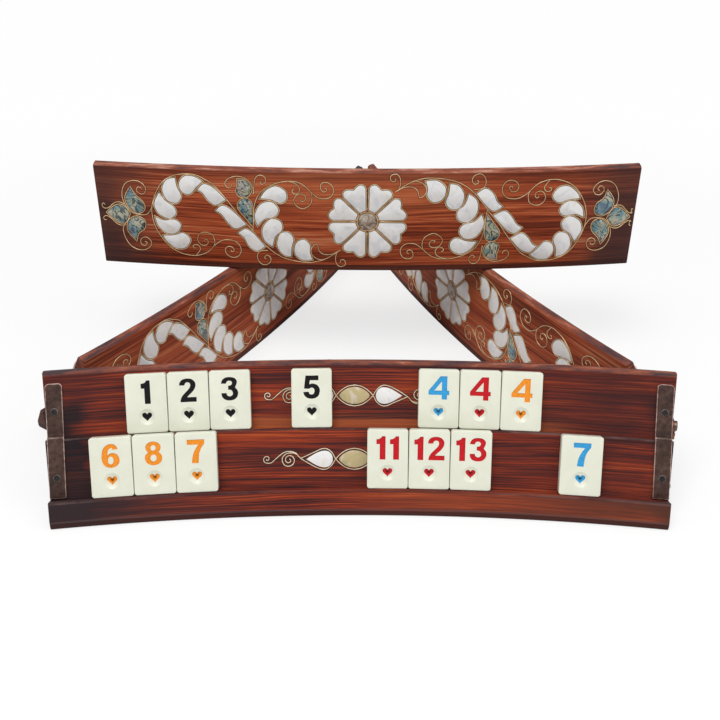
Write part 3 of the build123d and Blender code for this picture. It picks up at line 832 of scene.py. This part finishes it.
# Wires of the same half, each as across, up, across, up: the vine, its spirals and curls.
VINE = (
    (-200, -233, -227, -253, -267, -280, -313, -307, -367, -327, -420, -339, -473, -339, -527, -333, -573,
     -323, -627, -307, -667, -287, -713, -257, -753, -220, -793, -177, -827, -133, -860, -87, -893, -47,
     -927, -7, -960, 33, -1000, 93, -1053, 167, -1100, 227, -1147, 277, -1200, 307, -1247, 333, -1300, 343,
     -1353, 341, -1407, 333, -1453, 317, -1500, 290, -1540, 247, -1573, 193, -1600, 133, -1617, 73, -1623,
     20, -1617, -47, -1600, -107, -1573, -160, -1543, -207, -1500, -253, -1453, -283, -1400, -303, -1340,
     -312, -1287, -307, -1233, -287, -1193, -257, -1167, -227, -1127, -193, -1080, -170, -1033, -170, -993,
     -183, -963, -220, -959, -260, -980, -300, -1020, -315, -1060, -300, -1080, -267, -1070, -233, -1040,
     -223, -1017, -237, -1013, -260, -1030, -267, -1037, -253),
    (-1167, -227, -1157, -200, -1159, -167, -1173, -133, -1207, -117, -1240, -115, -1273, -133, -1288, -167,
     -1280, -200, -1253, -223, -1220, -217, -1207, -193, -1217, -173, -1233, -173, -1237, -187),
    (-1307, -305, -1287, -280, -1273, -253, -1283, -227, -1307, -219, -1327, -230, -1325, -247, -1310, -247),
    (-860, -87, -850, -20, -848, 47, -840, 107, -823, 160, -797, 207, -760, 244, -713, 272, -680, 287, -633,
     301, -587, 308, -533, 307, -493, 295, -460, 273, -427, 240, -400, 213, -367, 187, -333, 177, -293, 180,
     -260, 203, -248, 240, -260, 280, -293, 303, -327, 300, -343, 280, -340, 247, -320, 230, -300, 240, -300,
     257, -313, 260),
    (-413, 227, -407, 187, -413, 147, -440, 113, -480, 97, -513, 110, -540, 140, -540, 173, -520, 203, -487,
     213, -460, 200, -457, 173, -473, 153, -493, 157, -487, 170),
    (-573, 306, -533, 293, -503, 267, -500, 233, -520, 210, -547, 217, -553, 237, -540, 247),
    (-839, 205, -837, 223, -833, 273, -823, 320, -800, 347, -767, 348, -745, 323, -750, 293, -773, 280, -788,
     293, -780, 301),
    (-845, 205, -840, 233, -850, 277, -880, 313, -920, 333, -960, 337, -993, 330, -1027, 313, -1047, 287,
     -1043, 260, -1023, 245, -1003, 257, -1000, 273),
    (-753, -247, -787, -250, -820, -260, -835, -293, -830, -330, -807, -360, -773, -367, -740, -347, -732,
     -313, -750, -290, -773, -293, -781, -310, -767, -317),
    (-333, -320, -373, -310, -407, -287, -423, -247, -410, -207, -380, -187, -370, -207, -363, -240, -333,
     -267, -293, -273, -253, -263, -213, -240),
    (-227, -253, -237, -293, -233, -340, -207, -370, -166, -358, -168, -320, -196, -314, -201, -335),
    (-1700, 3, -1743, 7, -1783, 23, -1817, 63, -1833, 103, -1840, 150, -1830, 203, -1803, 247, -1763, 269,
     -1717, 273, -1677, 257, -1653, 223, -1657, 190, -1683, 169, -1713, 180, -1723, 203, -1710, 223, -1687,
     220, -1685, 207),
    (-1803, -30, -1843, -77, -1863, -117, -1860, -170, -1843, -217, -1817, -257, -1777, -280, -1730, -287,
     -1683, -270, -1655, -237, -1657, -203, -1683, -180, -1717, -183, -1737, -210, -1730, -240, -1703, -247,
     -1687, -223, -1703, -213),
    (-1830, 83, -1863, 97, -1897, 93, -1923, 77, -1950, 53, -1977, 40, -2000, 47, -2007, 70, -1993, 83,
     -1983, 70),
    (-1837, -83, -1877, -90, -1910, -77, -1943, -43, -1970, -23, -1993, -20, -2009, -37, -2000, -53, -1987,
     -50),
    (-1700, 3, -1663, 10, -1637, 37, -1617, 77, -1610, 110),
)
PETALS = 8
# Half of a petal that points along the first axis, from the disc out to its notch, as along, aside.
HALF_PETAL = (87, 0, 88, 23.5, 128, 40, 171, 57.5, 208, 72.5, 246, 86, 273, 76, 283, 52, 275, 24, 263, 0)
DISC_RADIUS = 6.6 * MM
WIRE_RADIUS = 0.34 * MM
WIRE_LIFT = -0.08 * MM          # of the wire's middle over the wood
PLATE_RISE = 0.16 * MM
PLATE_EASE = 0.08 * MM
WIRE_GAP = 0.72 * MM            # from a plate's edge to the middle of the wire round it
SEAM_REACH = 1.25 * MM          # of the dark filler round a plate, which also stands in as painted shade along its edge
SEAM_RISE = 0.05 * MM
GROOVE_RADIUS = 0.62 * MM


def petal(turn):
    """Outline of a petal with a notch in its round end."""
    points = [Vector(point) for point in pairs(HALF_PETAL)]
    points += [Vector((point.x, -point.y)) for point in points[-2:0:-1]]
    turned = Matrix.Rotation(turn, 2)
    return in_metres([turned @ point for point in smooth_line(points, closed=True, steps=4)])


def both_halves(outlines):
    return [half for outline in outlines for half in (outline, [-point for point in outline])]


def plates(outlines, rise=PLATE_RISE, easing=PLATE_EASE):
    bm = bmesh.new()
    for outline in outlines:
        plate(bm, outline, rise, easing)
    turn_outwards(bm)
    return bm


def grooves(lines, radius):
    """Dark filler in the groove of each wire, which also stands in as painted shade beside the wire."""
    bm = round_wires(lines, radius)
    bmesh.ops.scale(bm, vec=(1, 1, SEAM_RISE / radius), verts=bm.verts)
    return bm


def sunk(bm):
    """A mesh of wires, bedded in the wood."""
    shift(bm, bm.verts, 0, 0, WIRE_LIFT)
    return kept(bm)


def back_pattern():
    """Pieces on the back as (mesh, name, material, slot, nodes that it replaces)."""
    pearl_plates = both_halves([drawn(leaf) for leaf in PEARL_LEAVES])
    pearl_plates += [petal(2 * pi * (count + 0.5) / PETALS) for count in range(PETALS)]
    abalone_plates = both_halves([drawn(leaf) for leaf in ABALONE_LEAVES])
    disc = [point * DISC_RADIUS for point in round_outline(40, lambda turn: (cos(turn), sin(turn)))]
    outlines = [*pearl_plates, *abalone_plates, disc]
    vine = both_halves([in_metres(smooth_line(pairs(line), steps=3)) for line in VINE])
    seams = grooves(vine, GROOVE_RADIUS)
    join(seams, plates([grown(outline, SEAM_REACH) for outline in outlines], SEAM_RISE, 0))
    wires = round_wires([grown(outline, WIRE_GAP) for outline in outlines], WIRE_RADIUS, True)
    join(wires, round_wires(vine, WIRE_RADIUS))
    return ((kept(plates(pearl_plates)), "pearl_plates", PEARL, "mother_of_pearl", "pearl_inlay"),
            (kept(plates(abalone_plates)), "abalone_plates", ABALONE, "abalone", "abalone_inlay"),
            (kept(plates([disc])), "flower_disc", OLIVE_PEARL, "abalone"),
            (kept(seams), "inlay_seams", FILLER_AND_SHADE, "rosewood"),
            (sunk(wires), "back_wire", BRASS, "antique_copper"))


# How far the right half of the bridge's pattern was laid outwards by hand, against the distance across.
HAND_LAID = ((0, 0.4), (30, 0.6), (42, 1.1), (60, 3.5), (120, 3.8), (160, 3.6), (200, 2.2))


def on_bridge_back(point):
    across = point.x / MM
    for (start, first), (end, last) in zip(HAND_LAID, HAND_LAID[1:]):
        if start <= across < end:
            further = first + (last - first) * (across - start) / (end - start)
            return on_back(point + Vector((further * MM, 0, 0)))
    return on_back(point)


def lay_pattern(rack, lay, mesh, name, material, slot, *nodes):
    bm = opened(mesh)
    move(bm, lay)
    rack_piece(bm, rack, name, material, slot, *nodes)


# ---- inlay on the tile faces ----
# In tenths of a mm, along and up from the almond's middle. The right half is the left one, turned half
# round.
MOTIF_ALONG = -36
TIERS = (("upper", UPPER_LEDGE, 201), ("lower", LOWER_LEDGE, 180))      # with the motif's height on it
CROSSING = 120                  # from the almond's middle to where the wires cross
TEAR_POINT = 346
CURL = 0.86                     # how far a curl winds in towards its middle
CURL_STEPS = 11                 # in a turn
ALMOND = Vector((99, 56))       # half its length and height
DROP = Vector((86, 74))         # half a teardrop's length, and its greatest bulge
DROP_MIDDLE = -225
FACE_WIRE_RADIUS = 0.36 * MM
FACE_GROOVE = 0.7 * MM
# A strand as along, up, along, up, then the curl at its end as (middle along, up, turns), turns below 0
# clockwise.
FACE_STRANDS = (
    ((0, 68.5, -44, 60, -86, 35, -CROSSING, 0, -145, -39, -177, -64, -211, -66, -261, -46, -TEAR_POINT, 6,
      -377, 40, -416, 52, -456, 44, -496, 14, -537, -20, -570, -19), (-562, 5, -1.2)),
    ((0, -68.5, -44, -60, -86, -35, -CROSSING, 0, -143, 40, -173, 64, -207, 67, -256, 46, -TEAR_POINT, 6),
     None),
    ((-TEAR_POINT - 24, 32, -397, 42, -441, 36, -465, 4, -454, -32), (-421, -4, 1.6)),
)


def curled(points, curl):
    """A flat wire in metres through the points, wound up at its end round (x, y) for some turns."""
    line = [Vector(point) for point in pairs(points)]
    if curl:
        middle, turns = Vector(curl[:2]), curl[2]
        spoke = line[-1] - middle
        start = atan2(spoke.y, spoke.x)
        steps = int(abs(turns) * CURL_STEPS)
        for step in range(1, steps + 1):
            share = step / steps
            angle = start + 2 * pi * turns * share
            line.append(middle + Vector((cos(angle), sin(angle))) * spoke.length * (1 - CURL * share))
    return in_metres(smooth_line(line, steps=4))


def almond(turn):
    return -ALMOND.x * cos(turn), copysign(ALMOND.y * abs(sin(turn)) ** 1.5, sin(turn))


def teardrop(turn):
    return DROP_MIDDLE - DROP.x * cos(turn), DROP.y * sin(turn) * abs(sin(turn / 2)) ** 1.25


def face_pattern():
    """Pieces on a tile face as (mesh, name, material, slot)."""
    lines = both_halves([curled(points, curl) for points, curl in FACE_STRANDS])
    drops = both_halves([in_metres(round_outline(32, teardrop))])
    return ((kept(plates(drops)), "teardrops", PEARL, "mother_of_pearl"),
            (kept(plates([in_metres(round_outline(36, almond))])), "almond", GOLD_PEARL, "mother_of_pearl"),
            (sunk(round_wires(lines, FACE_WIRE_RADIUS)), "face_wire", PALE_BRASS, "antique_copper"),
            (kept(grooves(lines, FACE_GROOVE)), "face_grooves", FILLER_AND_SHADE, "rosewood"))


def face_motifs(rack):
    for tier, corner, up in TIERS:
        lay, from_foot = on_face(corner), Vector((MOTIF_ALONG, up, 0)) * TENTH
        for mesh, name, material, slot in FACE_PATTERN:
            lay_pattern(rack, lambda point: lay(point + from_foot), mesh, f"{tier}_{name}", material, slot)


# ---- tiles ----
FIGURE_HEIGHT = 150             # tenths of a mm
FIGURE_SPACE = 28               # tenths of a mm between two figures
FIGURE_UP = 7.2 * MM            # of the figure's middle above the tile's middle
DIMPLE_UP = -8.7 * MM
DIMPLE_RADIUS = 5.1 * MM
DIMPLE_DEPTH = 1.7 * MM
ENGRAVED = 0.55 * MM
FILL_DEPTH = 0.1 * MM
HEART_WIDTH = 6.4 * MM
HEART_FILL = 0.45 * MM
HEART_PIT = 0.3 * MM            # of the sunk middle of a heart, which the enamel darkens as painted shade
TILE_CORNER = 1.7 * MM
TILE_EASE = 0.6 * MM
FRONT = TILE.z                  # of a tile that lies on its back
HEART_FLOOR = FRONT - DIMPLE_DEPTH - 0.5 * MM
ABOVE = FRONT + 1 * MM          # where the engraving's cutters end
# Outlines of the figures in tenths of a mm from their lower left corner; a third number marks a sharp
# corner.
FIGURES = {
    "1": (((21, 0, 1), (58, 0, 1), (58, 150, 1), (36, 150, 1), (29, 140), (16, 132.5), (0, 130, 1),
           (0, 99, 1), (21, 99, 1)),),
    "2": (((0, 107, 1), (5, 128), (22, 145), (52, 151), (82, 145), (100, 127), (104, 108), (98, 86), (82, 64),
           (60, 44), (48, 31, 1), (107, 31, 1), (107, 0, 1), (5, 0, 1), (7, 19), (19, 42), (42, 66), (60, 84),
           (69, 100), (70, 111), (65, 122), (52, 126), (39, 121), (33, 107, 1)),),
    "3": (((0, 109, 1), (6, 130), (24, 146), (53, 151), (83, 145), (99, 129), (100, 110), (88, 83, 1),
           (102, 67), (107, 48), (101, 24), (82, 6), (52, 0), (23, 6), (5, 24), (0, 48, 1), (33, 49, 1),
           (37, 35), (52, 27), (69, 34), (73, 49), (64, 66), (44, 70, 1), (44, 95, 1), (61, 98), (69, 110),
           (65, 123), (52, 127), (38, 123), (31, 109, 1)),),
    "4": (((85, 0, 1), (119, 0, 1), (119, 29, 1), (133, 29, 1), (133, 57, 1), (119, 57, 1), (119, 150, 1),
           (75, 150, 1), (0, 55, 1), (0, 29, 1), (85, 29, 1)),
          ((85, 57, 1), (85, 116, 1), (37, 57, 1))),
    "5": (((15, 150, 1), (98, 150, 1), (98, 119, 1), (43, 119, 1), (39, 93, 1), (59, 99), (87, 90), (103, 70),
           (106, 48), (98, 21), (78, 5), (51, 0), (24, 6), (6, 23), (0, 44, 1), (34, 46, 1), (39, 33),
           (52, 28), (66, 33), (72, 50), (67, 66), (53, 72), (36, 64, 1), (5, 66, 1)),),
    "6": (((102, 115, 1), (94, 136), (79, 147), (56, 151), (30, 142), (10, 118), (1, 83), (1, 50), (11, 21),
           (31, 5), (58, 0), (86, 7), (105, 26), (110, 50), (103, 74), (85, 90), (64, 93), (47, 88),
           (37, 79, 1), (39, 98), (46, 115), (58, 124), (67, 122), (71, 114, 1)),
          ((39, 46), (43, 63), (55, 71), (68, 64), (73, 46), (68, 29), (56, 22), (43, 29))),
    "7": (((0, 150, 1), (109, 150, 1), (109, 123, 1), (88, 93), (74, 54), (69, 0, 1), (27, 0, 1), (33, 44),
           (48, 83), (71, 118, 1), (0, 118, 1)),),
    "8": (((54, 151), (84, 143), (100, 123), (99, 100), (89, 82), (104, 65), (108, 43), (98, 18), (78, 4),
           (54, 0), (30, 4), (10, 18), (0, 43), (4, 65), (19, 82), (9, 100), (8, 123), (24, 143)),
          ((54, 127), (67, 121), (70, 109), (66, 98), (54, 93), (42, 98), (38, 109), (41, 121)),
          ((54, 67), (68, 61), (73, 46), (68, 31), (54, 24), (40, 31), (35, 46), (40, 61))),
}
# Runs of tiles: the ledge, the distance along it to the run's middle, and the tiles from left to right.
RUNS = (
    (UPPER_LEDGE, -110.35 * MM, ("1_black", "2_black", "3_black")),
    (UPPER_LEDGE, -31.3 * MM, ("5_black",)),
    (UPPER_LEDGE, 77.35 * MM, ("4_blue", "4_red", "4_orange")),
    (LOWER_LEDGE, -130.7 * MM, ("6_orange", "8_orange", "7_orange")),
    (LOWER_LEDGE, 44.2 * MM, ("11_red", "12_red", "13_red")),
    (LOWER_LEDGE, 140.4 * MM, ("7_blue",)),
)


def figure(text):
    """A flat bold figure as a bmesh, its middle at the origin."""
    widths = [max(point[0] for point in FIGURES[mark][0]) for mark in text]
    start = -(sum(widths) + FIGURE_SPACE * (len(text) - 1)) / 2
    lines = []
    for mark, width in zip(text, widths):
        corner = Vector((start, -FIGURE_HEIGHT / 2)) * TENTH
        lines += [[point + corner for point in drawn(outline, steps=4)] for outline in FIGURES[mark]]
        start += width + FIGURE_SPACE
    bm = from_curve(lines, True, dimensions="2D", fill_mode="BOTH")
    bmesh.ops.remove_doubles(bm, verts=bm.verts, dist=0.01 * MM)
    return bm


def heart():
    """A flat heart as a bmesh of one face."""
    bm = bmesh.new()
    outline = round_outline(28, lambda turn: (
        16 * sin(turn) ** 3, 13 * cos(turn) - 5 * cos(2 * turn) - 2 * cos(3 * turn) - cos(4 * turn) + 2.2))
    bm.faces.new([bm.verts.new((*(point * HEART_WIDTH / 32), 0)) for point in outline])
    return bm


def block(bm, up, low, high):
    """A closed block over a flat bmesh, shifted up the tile, from one height to another."""
    turn_outwards(bm)
    extrude(bm, bm.faces[:], 0, 0, high - low)
    shift(bm, bm.verts, 0, up, low)
    turn_outwards(bm)
    return bm


def cut(body, tools):
    """The body's mesh with each tool's mesh taken out of it."""
    holder, *cutters = helpers = [placed("cut_work", mesh) for mesh in (body, *tools)]
    for cutter in cutters:
        modifier = holder.modifiers.new("cut", "BOOLEAN")
        modifier.object = cutter
        modifier.operation = "DIFFERENCE"
        modifier.solver = "EXACT"
    bpy.context.view_layer.update()
    made = bpy.data.meshes.new_from_object(holder.evaluated_get(bpy.context.evaluated_depsgraph_get()))
    for helper in helpers:
        bpy.data.objects.remove(helper)
    return made


def tile_blank():
    bm = bmesh.new()
    bmesh.ops.create_cube(bm, size=1.0)
    bmesh.ops.scale(bm, vec=TILE, verts=bm.verts)
    shift(bm, bm.verts, 0, 0, TILE.z / 2)
    upright = [edge for edge in bm.edges if abs(edge.verts[0].co.z - edge.verts[1].co.z) > 1 * MM]
    ease(bm, upright, TILE_CORNER, 6)
    ease(bm, sharp_edges(bm, SQUARE), TILE_EASE, 3)
    return kept(bm)


def dimple():
    """The lower part of a ball, over the hollow of the heart."""
    ball = (DIMPLE_RADIUS ** 2 + DIMPLE_DEPTH ** 2) / (2 * DIMPLE_DEPTH)
    bm = bmesh.new()
    bmesh.ops.create_uvsphere(bm, u_segments=48, v_segments=90, radius=ball)
    above = [vertex for vertex in bm.verts if vertex.co.z > -ball + 3 * DIMPLE_DEPTH]
    bmesh.ops.delete(bm, geom=above, context="VERTS")
    fill_holes(bm)
    shift(bm, bm.verts, 0, DIMPLE_UP, FRONT - DIMPLE_DEPTH + ball)
    turn_outwards(bm)
    return kept(bm)


def tile(name, place):
    number, colour = name.split("_")
    tools = (DIMPLE.copy(), kept(block(figure(number), FIGURE_UP, FRONT - ENGRAVED, ABOVE)),
             kept(block(heart(), DIMPLE_UP, HEART_FLOOR, ABOVE)))
    bm = opened(cut(BLANK.copy(), tools))
    move(bm, place)
    finish_piece(bm, f"tile_{name}_resin", IVORY, f"tile_{name}", [f"tile_{name}"])
    bm = block(figure(number), FIGURE_UP, FRONT - ENGRAVED, FRONT - ENGRAVED + FILL_DEPTH)
    join(bm, block(heart(), DIMPLE_UP, HEART_FLOOR, HEART_FLOOR + HEART_FILL))
    # The heart's sunk middle is marked to carry painted shade in the enamel.
    deep = bm.verts.layers.float.new("deep")
    top = max((face for face in bm.faces if face.normal.z > 0.9), key=lambda face: len(face.verts))
    middle = bmesh.ops.poke(bm, faces=[top])["verts"][0]
    middle.co.z -= HEART_PIT
    middle[deep] = 1.0
    move(bm, place)
    finish_piece(bm, f"tile_{name}_enamel", PAINTS[colour], f"tile_{name}", smooth=False)


def tiles():
    for ledge, middle, names in RUNS:
        for count, name in enumerate(names):
            along = middle + (count - (len(names) - 1) / 2) * TILE_STEP
            plane = face_station(ledge, along, TILE_GAP + TILE.y / 2, TILE_GAP)
            tile(name, PLACES["front"] @ plane)


# ---- the set ----
BACK_PATTERN = back_pattern()
FACE_PATTERN = face_pattern()
BLANK = tile_blank()
DIMPLE = dimple()

for rack in RACKS:
    rack_wood(rack)
    for side in ("left", "right"):
        end_bar(rack, side)
    bar_screws(rack)
    latch(rack)
    for pattern in BACK_PATTERN:
        lay_pattern(rack, on_bridge_back if rack == "bridge" else on_back, *pattern)
    face_motifs(rack)
tiles()


# ---- stage, light and camera ----
def stage():
    """A pale floor that glows by itself where the camera sees it, most of all away from the set."""
    bm = bmesh.new()
    bmesh.ops.create_grid(bm, x_segments=1, y_segments=1, size=6.0)
    floor = placed("floor", kept(bm))
    pale = Finish("pale_floor", Base_Color=(0.92, 0.92, 0.92, 1), Roughness=0.9, Specular_IOR_Level=0.1)
    glow = pale.node("ShaderNodeEmission", Color=(1, 1, 1, 1), Strength=1.0)
    seen = pale.node("ShaderNodeLightPath", output="Is Camera Ray")
    x, y, _ = pale.parts(pale.place())
    away = ((x * x + y * y) ** 0.5).between(0.3, 0.75)
    lit = Signal(pale, pale.surface.outputs[0])
    blend = pale.node("ShaderNodeMixShader", seen * (away * 0.26 + 0.72), lit, glow)
    pale.feed(pale.tree.nodes["Material Output"].inputs["Surface"], blend)
    floor.data.materials.append(pale.material)


def world():
    """White for the camera, and dimmer as a light."""
    studio = bpy.data.worlds.new("studio")
    nodes = Nodes(studio)
    back = nodes.tree.nodes["Background"].inputs
    nodes.feed(back["Color"], (1, 1, 1, 1))
    nodes.feed(back["Strength"], nodes.node("ShaderNodeLightPath", output="Is Camera Ray") * 0.5 + 0.5)
    bpy.context.scene.world = studio


def lamp(name, place, aim, size, watts):
    light = bpy.data.lights.new(name, "AREA")
    light.shape = "SQUARE"
    light.size = size
    light.energy = watts
    holder = placed(name, light)
    holder.location = place
    holder.rotation_euler = (Vector(aim) - Vector(place)).to_track_quat("-Z", "Y").to_euler()


CAMERA_PLACE = (-0.001315, -0.690996, 0.406878)
CAMERA_YAW = radians(-0.392)
CAMERA_DOWN = radians(31.391)
CAMERA_ROLL = radians(0.301)
FOCAL_LENGTH = 964.44 / 720     # in widths of the frame


def camera():
    eye = bpy.data.cameras.new("camera")
    eye.sensor_width = 36.0
    eye.lens = eye.sensor_width * FOCAL_LENGTH
    holder = placed("camera", eye)
    turned = (Matrix.Rotation(CAMERA_YAW, 4, "Z") @ Matrix.Rotation(pi / 2 - CAMERA_DOWN, 4, "X")
              @ Matrix.Rotation(CAMERA_ROLL, 4, "Z"))
    holder.matrix_world = Matrix.Translation(CAMERA_PLACE) @ turned
    bpy.context.scene.camera = holder


stage()
world()
lamp("key", (-0.35, -0.65, 1.65), (0, 0, 0.05), 0.9, 17)
lamp("fill", (0.9, -0.6, 1.2), (0, 0, 0.05), 1.2, 6)
camera()
bpy.context.scene.view_settings.view_transform = "Standard"
